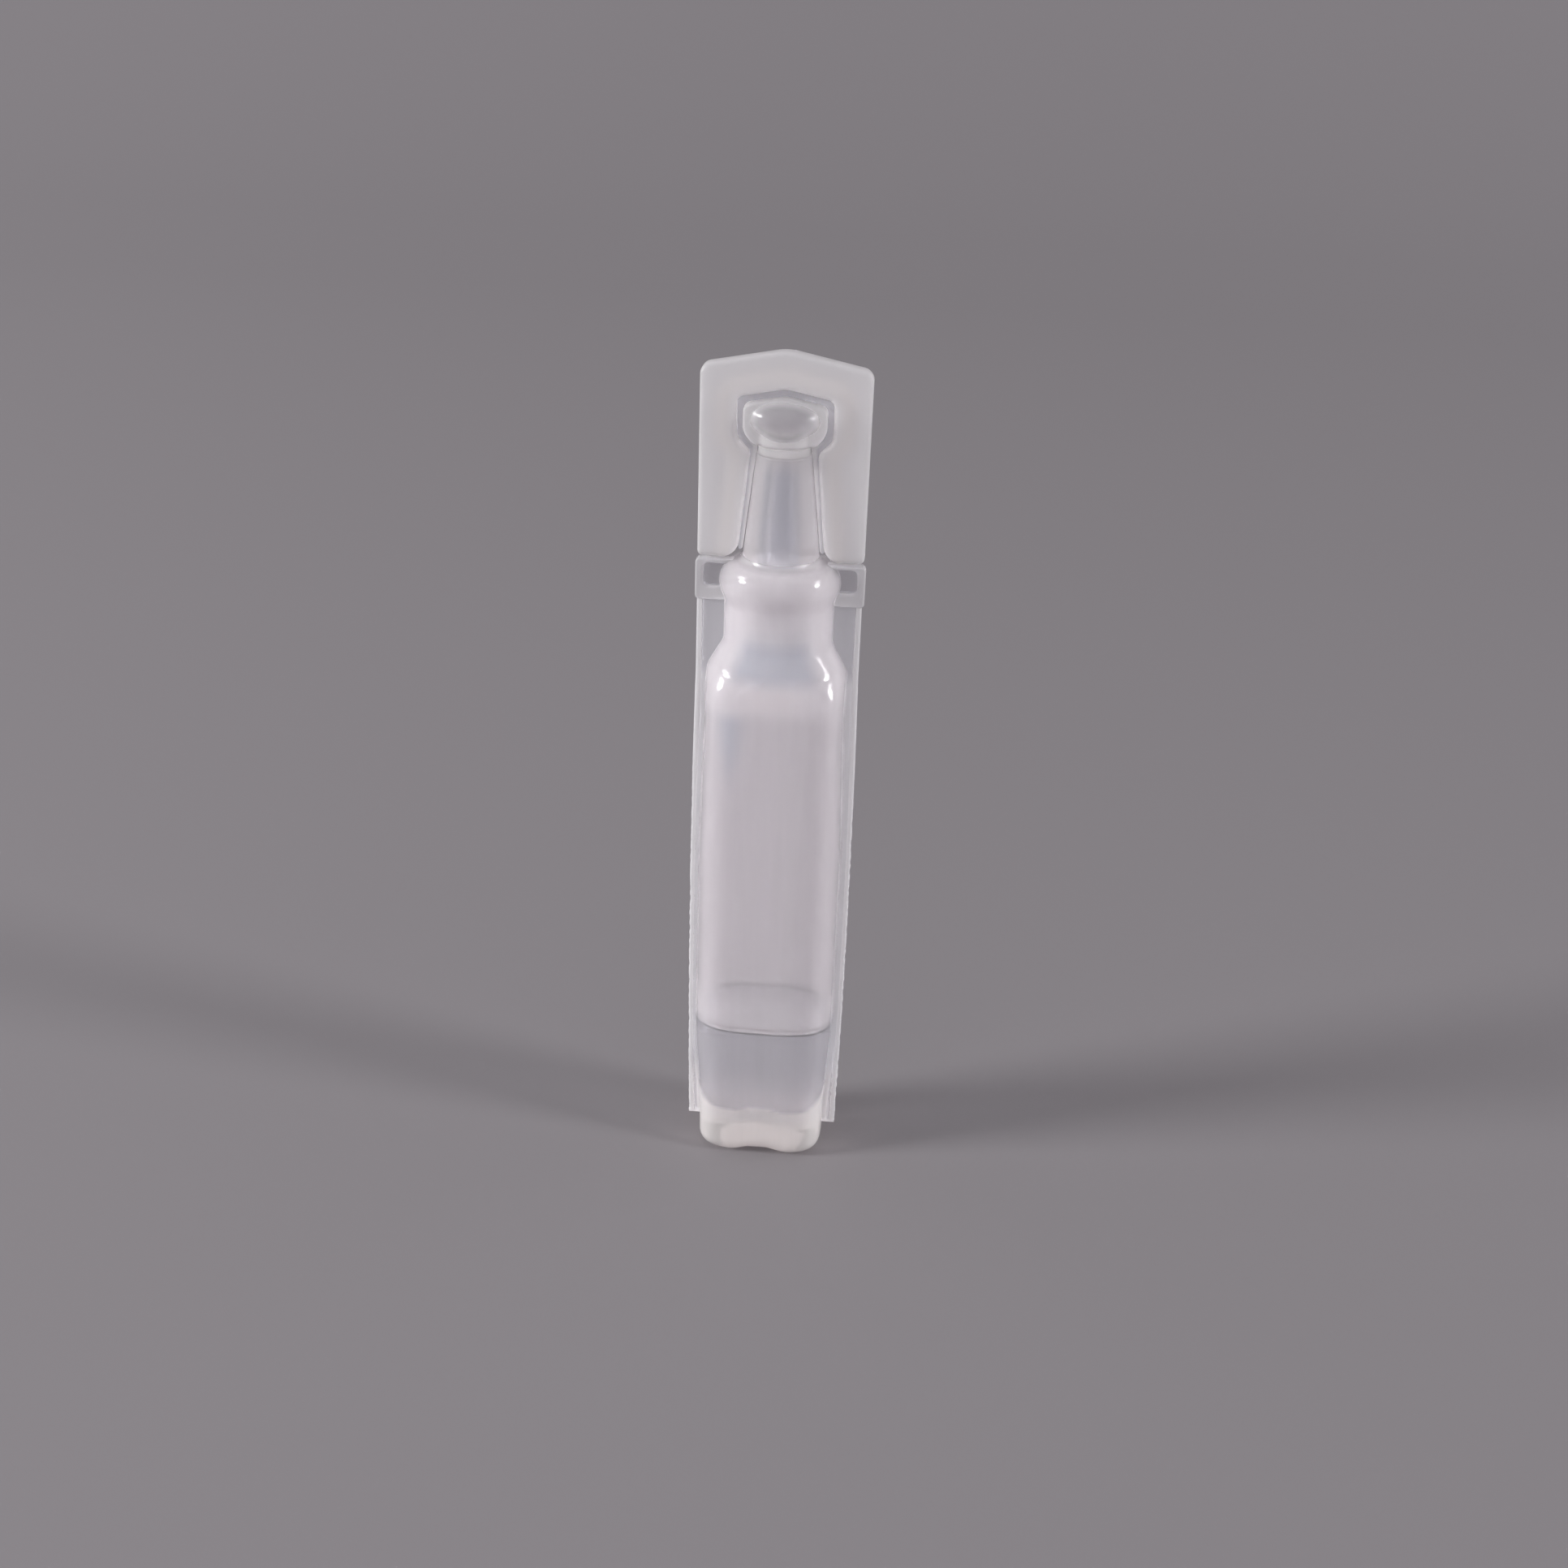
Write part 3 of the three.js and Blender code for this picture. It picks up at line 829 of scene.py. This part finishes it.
# Plates, from a few corners (x, z, radius) in the plane of the tab

def mirrored(corners):
    return [(-x, z, radius) for x, z, radius in corners]


def rim_edges(bm):
    """The sharp edges round both faces of a plate."""
    return [
        edge for edge in bm.edges
        if len(edge.link_faces) == 2
        and edge.calc_face_angle() > 1.2
        and abs(edge.verts[0].co.y - edge.verts[1].co.y) < 1e-6
    ]


def outline_plate(corners, thickness, edge):
    """A plate rounded in its outline and along its edges."""
    bm = blank()
    points = [bm.verts.new((x, -thickness / 2, z)) for x, z, _ in corners]
    bm.faces.new(points)
    for point, (_, _, radius) in zip(points, corners):
        if radius:
            bmesh.ops.bevel(
                bm, geom=[point], offset=radius, offset_type="OFFSET",
                segments=6, profile=0.5, affect="VERTICES", material=-1,
            )
    geom = bmesh.ops.extrude_face_region(bm, geom=bm.faces[:])["geom"]
    back = [g for g in geom if isinstance(g, bmesh.types.BMVert)]
    bmesh.ops.translate(bm, vec=(0, thickness, 0), verts=back)
    turn_out(bm, bm.faces[:])
    if edge:
        bmesh.ops.bevel(
            bm, geom=rim_edges(bm), offset=edge, offset_type="OFFSET",
            segments=4, profile=0.5, affect="EDGES", material=-1,
        )
    return bm


def cut_grid(bm, step):
    """Cuts a plate into cells so that its faces can swell, on lines that miss its own points."""
    off_centre = 0.37
    xs = [v.co.x for v in bm.verts]
    zs = [v.co.z for v in bm.verts]
    for axis, values in (((1, 0, 0), xs), ((0, 0, 1), zs)):
        low, high = min(values), max(values)
        count = int((high - low) / step)
        for i in range(1, count):
            at = low + (high - low) * (i + off_centre) / count
            bmesh.ops.bisect_plane(
                bm, geom=bm.verts[:] + bm.edges[:] + bm.faces[:],
                plane_co=[a * at for a in axis], plane_no=axis, dist=1e-5,
            )


# The tab with its key, and the ring under it

def tear_ring():
    bm = blank()
    low, high = TIP_Z + RING_GAP, KEY_Z - RING_GAP
    outer = [
        round_section(low, RING_RADIUS),
        round_section((low + high) / 2, RING_RADIUS - RING_WAIST),
        round_section(high, RING_RADIUS),
    ]
    inner = [round_section(high, ORIFICE_RADIUS), round_section(low, ORIFICE_RADIUS)]
    loft(bm, outer + inner + outer[:1], closed=False, sides=RING_SIDES)
    bmesh.ops.remove_doubles(bm, verts=bm.verts[:], dist=1e-5)
    hazed(bm, bm.verts, even(RING_FINISH))
    turn_out(bm, bm.faces[:])
    return finished(bm, "tear_ring_skin", WHITISH, smooth_angle=40)


def keyhole_corners(reach):
    """The right half of an outline this far out from the nozzle and the key, from the foot up."""
    root = NOZZLE_RADIUS + reach
    waist = TIP_RADIUS + reach
    key = KEY_HALF_WIDTH + reach
    flare_z = KEY_FLARE_Z - reach
    return [
        (root, TAB_FOOT_Z, 1.5),
        (waist, flare_z - (key - waist), 0.4),
        (key, flare_z, 0.5),
        (key, KEY_EAVES_Z + reach, 0.6),
    ]


def keyhole_peak(reach):
    return (0, KEY_EAVES_Z + reach + (KEY_HALF_WIDTH + reach) * ROOF_SLOPE, 0.6)


def segment_distance(x, z, start, end):
    run, rise = end[0] - start[0], end[1] - start[1]
    share = ((x - start[0]) * run + (z - start[1]) * rise) / (run ** 2 + rise ** 2)
    share = min(max(share, 0.0), 1.0)
    return math.hypot(x - start[0] - share * run, z - start[1] - share * rise)


def keyhole_distance(co):
    """How far a point of the tab lies from the nozzle and the key, in the tab's plane."""
    corners = [corner[:2] for corner in keyhole_corners(0) + [keyhole_peak(0)]]
    return min(segment_distance(abs(co.x), co.z, a, b) for a, b in zip(corners, corners[1:]))


def tab_finish(co):
    halo = bell(1.9, 0.9, keyhole_distance(co))
    # Less haze towards the top of the tab: painted shade
    haze = TAB_HAZE + HALO_HAZE * halo - TAB_TOP_PAINTED_SHADE * ease(71.0, 84.0, co.z)
    return Finish(haze, TAB_WARMTH + HALO_WARMTH * halo)


def tab_plate():
    keyhole = keyhole_corners(GROOVE)
    outer = [(TAB_HALF_WIDTH, TAB_FOOT_Z, 0.5), (TAB_HALF_WIDTH, TAB_EAVES_Z, 0.9)]
    corners = outer + [(0, TAB_PEAK_Z, 0.9)] + mirrored(outer)[::-1]
    corners += mirrored(keyhole) + [keyhole_peak(GROOVE)] + keyhole[::-1]
    bm = outline_plate(corners, TAB_THICKNESS, TAB_EDGE)
    cut_grid(bm, step=0.4)
    land = GROOVE + LAND_WIDTH
    for vert in bm.verts:
        swell = LAND_RISE * (1 - ease(land - 0.5, land + 0.5, keyhole_distance(vert.co)))
        vert.co.y *= 1 + swell / (TAB_THICKNESS / 2)
    hazed(bm, bm.verts, tab_finish)
    return finished(bm, "tab_plate", WHITISH, smooth_angle=50)


def hollow_reach(co):
    """0 in the middle of the blister's hollow and 1 at its edge, seen from the front."""
    return (co.x / HOLLOW[0]) ** 2 + ((co.z - BLISTER_Z) / HOLLOW[2]) ** 2


def key_finish(co):
    return mixed(BLISTER_FINISH, KEY_FINISH, ease(0.55, 1.15, hollow_reach(co)))


def key_gloss(co):
    return -BLISTER_GLOSS * (1 - ease(0.9, 1.2, hollow_reach(co)))


def tab_key():
    """The flange in the middle of the tab, with a hollow blister swelling out of both its faces."""
    half = [
        (KEY_FOOT_HALF_WIDTH, KEY_Z, 0.5),
        (KEY_HALF_WIDTH, KEY_FLARE_Z, 0.6),
        (KEY_HALF_WIDTH, KEY_EAVES_Z, 0.6),
    ]
    bm = outline_plate(half + [keyhole_peak(0)] + mirrored(half)[::-1], KEY_FLANGE, KEY_EDGE)
    cut_grid(bm, step=0.18)
    flange = KEY_FLANGE / 2
    for vert in bm.verts:
        x, _, z = vert.co
        off_middle = (x / BLISTER[0]) ** 2 + ((z - BLISTER_Z) / BLISTER[2]) ** 2
        dome = BLISTER[1] * math.sqrt(max(1 - off_middle, 0.0))
        above_ring = ease(KEY_FLARE_Z, KEY_FLARE_Z + 2.0, z)
        boss = math.sqrt(max(RING_RADIUS ** 2 - x ** 2, 0.0)) * (1 - above_ring)
        vert.co.y *= soft_max(soft_max(flange, boss, 0.3), dome, 0.5) / flange
    skin = bm.verts[:]
    hollow = bmesh.ops.create_uvsphere(bm, u_segments=48, v_segments=24, radius=1)["verts"]
    bmesh.ops.scale(bm, vec=HOLLOW, verts=hollow)
    bmesh.ops.translate(bm, vec=(0, 0, BLISTER_Z), verts=hollow)
    turn_out(bm, faces_of(skin))
    turn_out(bm, faces_of(hollow))
    bmesh.ops.reverse_faces(bm, faces=faces_of(hollow))
    hazed(bm, skin, key_finish)
    dulled(bm, skin, key_gloss)
    hazed(bm, hollow, even(HOLLOW_FINISH))
    return finished(bm, "tab_key", WHITISH)


def groove_finish(co):
    """Clear round the key, and pale along the nozzle."""
    legs = 1 - ease(KEY_Z - 0.2, KEY_Z + 0.6, co.z)
    near = 1 - ease(GROOVE - 0.35, GROOVE - 0.15, keyhole_distance(co))
    return mixed(GROOVE_FINISH, PALE_GROOVE_FINISH, legs * near)


def groove_film():
    """The thin film that closes the groove between the tab and its key and nozzle."""
    reach = GROOVE + FILM_OVERLAP
    tuck = 0.2
    keyhole = keyhole_corners(reach)
    inner = [
        (NOZZLE_RADIUS + 0.05 + FILM_GAP, TAB_FOOT_Z + 0.9, 0),
        (TIP_RADIUS + FILM_GAP, TIP_Z - TIP_ROUND, 0),
        (RING_RADIUS + FILM_GAP, TIP_Z, 0),
        (RING_RADIUS + FILM_GAP, KEY_Z, 0),
        (KEY_FOOT_HALF_WIDTH - tuck, KEY_Z + tuck, 0),
        (KEY_HALF_WIDTH - tuck, KEY_FLARE_Z + 0.3, 0),
        (KEY_HALF_WIDTH - tuck, KEY_EAVES_Z - tuck, 0),
    ]
    peak = (0, keyhole_peak(0)[1] - tuck, 0)
    corners = keyhole + [keyhole_peak(reach)] + mirrored(keyhole)[::-1]
    corners += mirrored(inner) + [peak] + inner[::-1]
    bm = outline_plate(corners, FILM, 0)
    cut_grid(bm, step=0.15)
    hazed(bm, bm.verts, groove_finish)
    return finished(bm, "groove_film", FILMY, smooth_angle=40)


# Webs and bridges, with side 1 on the right and -1 on the left

def sided(side, name):
    return ("right_" if side > 0 else "left_") + name


def strip_edge(z):
    """The strip's outer edge at a height: straight by the neck, bowed by the body."""
    t = min(max((z - WEB_FOOT_Z) / (CHAMBER_Z - WEB_FOOT_Z), 0.0), 1.0)
    return TAB_HALF_WIDTH + 4 * WEB_BOW * t * (1 - t)


def torn(side, z):
    """How far the torn edge is nicked at a height."""
    nicked = 0.0
    for seed, rate, depth in NICKS:
        nicked += depth * abs(noise.noise(Vector((NICK_SEEDS[side], seed, z * rate))))
    return EDGE_INSET + (1 - ease(*NICK_FADE, z)) * nicked


def web_point(side, column, z):
    """How far out a column of a web lies at a height, and its share of the thicker rim."""
    inner = section_at(OUTER, z).half_width - WEB_OVERLAP
    outer = strip_edge(z) - torn(side, z)
    width = outer - inner
    wide = ease(1.05, 1.5, width)
    if column < len(FROM_BODY):
        x = inner + min(FROM_BODY[column], width / 2)
        rim = BODY_RIM * (1 - ease(CHAMBER_Z - 1.5, CHAMBER_Z + 0.5, z))
        if column == len(FROM_BODY) - 1:
            rim *= 1 - wide
    else:
        edge = column - len(FROM_BODY)
        x = outer - min(FROM_EDGE[edge], width / 2)
        rim = EDGE_RIM[edge - 1] if edge else 1 - wide
    foot = 1 - ease(WEB_FOOT_Z + 0.15, WEB_FOOT_Z + 0.35, z)
    return x, max(rim, foot)


def web(side):
    """A thin film with a thicker rim along the body, along its torn edge and at its foot."""
    bm = blank()
    across = bm.verts.layers.float["across"]
    along = bm.verts.layers.float["along"]
    haze = bm.verts.layers.float["haze"]
    warmth = bm.verts.layers.float["warmth"]
    grid = bmesh.ops.create_grid(
        bm, x_segments=WEB_COLUMNS - 1, y_segments=WEB_ROWS - 1, size=0.5,
    )["verts"]
    for vert in grid:
        vert[across], vert[along] = vert.co.x + 0.5, vert.co.y + 0.5
    bmesh.ops.solidify(bm, geom=bm.faces[:], thickness=1)
    for vert in bm.verts:
        z = mix(WEB_FOOT_Z, COLLAR_Z, vert[along])
        x, rim = web_point(side, round(vert[across] * (WEB_COLUMNS - 1)), z)
        half = mix(FILM, RIM_THICKNESS, rim) / 2
        vert.co = (side * x, -half if vert.co.z > -0.5 else half, z)
        vert[haze], vert[warmth] = mixed(WEB_FINISH, RIM_FINISH, rim)
    turn_out(bm, bm.faces[:])
    return finished(bm, sided(side, "web_film"), FILMY, smooth_angle=60)


def bridge(side):
    """A frame beside the collar, open towards it."""
    low, high = COLLAR_Z, COLLAR_TOP_Z
    post = BRIDGE_OUTER - BRIDGE_POST
    corners = [
        (side * BRIDGE_FOOT_X, low, 0),
        (side * BRIDGE_OUTER, low, 0.4),
        (side * BRIDGE_OUTER, high, 0.5),
        (side * BRIDGE_HEAD_X, high, 0),
        (side * BRIDGE_HEAD_X, high - BRIDGE_LINTEL, 0),
        (side * post, high - BRIDGE_LINTEL, 0.5),
        (side * post, low + BRIDGE_RIB, 0.5),
        (side * BRIDGE_FOOT_X, low + BRIDGE_RIB, 0),
    ]
    bm = outline_plate(corners, BRIDGE_THICKNESS, BRIDGE_EDGE)
    hazed(bm, bm.verts, even(BRIDGE_FINISH))
    return finished(bm, sided(side, "bridge_frame"), FILMY, smooth_angle=50)


def bridge_window(side):
    """The clear pane in a bridge's frame."""
    low = COLLAR_Z + BRIDGE_RIB - WINDOW_OVERLAP
    high = COLLAR_TOP_Z - BRIDGE_LINTEL + WINDOW_OVERLAP
    outer = BRIDGE_OUTER - BRIDGE_POST + WINDOW_OVERLAP
    corners = [
        (side * WINDOW_X, low, 0),
        (side * outer, low, 0),
        (side * outer, high, 0),
        (side * WINDOW_X, high, 0),
    ]
    bm = outline_plate(corners, FILM, 0)
    hazed(bm, bm.verts, even(WINDOW_FINISH))
    return finished(bm, sided(side, "bridge_window"), FILMY, smooth_angle=40)


def dress(piece, body, slot, *nodes):
    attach(piece, body)
    if nodes:
        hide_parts(*nodes)


dress(vial_wall(), "vial", "milky_plastic", "vial_shell")
dress(liquid(), "vial", "saline", "saline_fill")
dress(tear_ring(), "tear_ring", "tab_plastic", "tear_ring")
dress(tab_plate(), "tab", "tab_plastic", "twist_off_tab")
dress(tab_key(), "tab", "tab_plastic")
dress(groove_film(), "tab", "tab_plastic")
dress(web(1), "vial", "web_film", "right_web")
dress(web(-1), "vial", "web_film", "left_web")
dress(bridge(1), "vial", "web_film", "right_bridge")
dress(bridge(-1), "vial", "web_film", "left_bridge")
dress(bridge_window(1), "vial", "web_film")
dress(bridge_window(-1), "vial", "web_film")


# Stage, in metres

TABLE_NEAR_Y = -0.9
TABLE_FLARE_Y = 0.2
SWEEP_Y = 0.45
SWEEP_RADIUS = 0.9
SWEEP_TOP_Z = 3.0
TABLE_HALF_WIDTH = 0.75
SWEEP_HALF_WIDTH = 1.8
CAMERA_AIM_Z = 0.042
LAMP_AIM_Z = 0.04


def table_top():
    """A plain grey sweep under and behind the vial, wider behind it."""
    bm = bmesh.new()
    near = [bm.verts.new((x, TABLE_NEAR_Y, 0)) for x in (-TABLE_HALF_WIDTH, TABLE_HALF_WIDTH)]
    edges = [bm.edges.new(near)]
    profile = [(TABLE_FLARE_Y, 0.0, TABLE_HALF_WIDTH)]
    for angle in quarter_turn(16):
        y = SWEEP_Y + SWEEP_RADIUS * math.sin(angle)
        profile.append((y, SWEEP_RADIUS * (1 - math.cos(angle)), SWEEP_HALF_WIDTH))
    profile.append((SWEEP_Y + SWEEP_RADIUS, SWEEP_TOP_Z, SWEEP_HALF_WIDTH))
    for y, z, half_width in profile:
        verts, edges = extruded(bm, edges)
        for vert in verts:
            vert.co = (math.copysign(half_width, vert.co.x), y, z)
    turn_out(bm, bm.faces[:])
    mesh = bpy.data.meshes.new("table_top")
    bm.to_mesh(mesh)
    bm.free()
    for polygon in mesh.polygons:
        polygon.use_smooth = True
    material, _, shader = shaded("grey_card")
    shader.inputs["Base Color"].default_value = (0.254, 0.239, 0.250, 1)
    shader.inputs["Roughness"].default_value = 0.55
    shader.inputs["Specular IOR Level"].default_value = 0.25
    mesh.materials.append(material)
    obj = bpy.data.objects.new("table_top", mesh)
    bpy.context.scene.collection.objects.link(obj)


def direction(azimuth, elevation):
    """Out from the vial, in degrees. Azimuth 0 is in front of it and 90 to its right."""
    a, e = math.radians(azimuth), math.radians(elevation)
    return Vector((math.sin(a) * math.cos(e), -math.cos(a) * math.cos(e), math.sin(e)))


def looking_back(away):
    return away.to_track_quat("Z", "Y").to_matrix().to_4x4()


def lamp(name, azimuth, elevation, distance, size, power):
    """A soft lamp aimed at the vial."""
    data = bpy.data.lights.new(name, "AREA")
    data.shape = "ELLIPSE"
    data.size, data.size_y = size
    data.energy = power
    away = direction(azimuth, elevation)
    place = Vector((0, 0, LAMP_AIM_Z)) + away * distance
    obj = bpy.data.objects.new(name, data)
    obj.matrix_world = Matrix.Translation(place) @ looking_back(away)
    bpy.context.scene.collection.objects.link(obj)


def camera(azimuth, elevation, distance, lens, roll, sideways):
    """The photo's camera, rolled by some degrees and aimed a little to the side of the vial."""
    data = bpy.data.cameras.new("camera")
    data.sensor_width = 36
    data.lens = lens
    data.clip_start, data.clip_end = 0.005, 50
    away = direction(azimuth, elevation)
    turn = looking_back(away)
    aim = Vector((0, 0, CAMERA_AIM_Z)) + turn.to_3x3() @ Vector((sideways, 0, 0))
    rolled = turn @ Matrix.Rotation(math.radians(roll), 4, "Z")
    obj = bpy.data.objects.new("camera", data)
    obj.matrix_world = Matrix.Translation(aim + away * distance) @ rolled
    bpy.context.scene.collection.objects.link(obj)
    bpy.context.scene.camera = obj


table_top()
lamp("right_lamp", azimuth=77, elevation=18, distance=2.0, size=(0.4, 0.4), power=23.5)
lamp("left_lamp", azimuth=-73, elevation=20, distance=1.4, size=(0.36, 0.24), power=18.5)
camera(azimuth=4.0, elevation=25.2, distance=0.198, lens=45.1, roll=2.15, sideways=0.0011)

world = bpy.data.worlds.new("studio")
world.use_nodes = True
world.node_tree.nodes["Background"].inputs["Color"].default_value = (0.80, 0.78, 0.82, 1)
world.node_tree.nodes["Background"].inputs["Strength"].default_value = 0.6
bpy.context.scene.world = world
bpy.context.scene.view_settings.view_transform = "Standard"
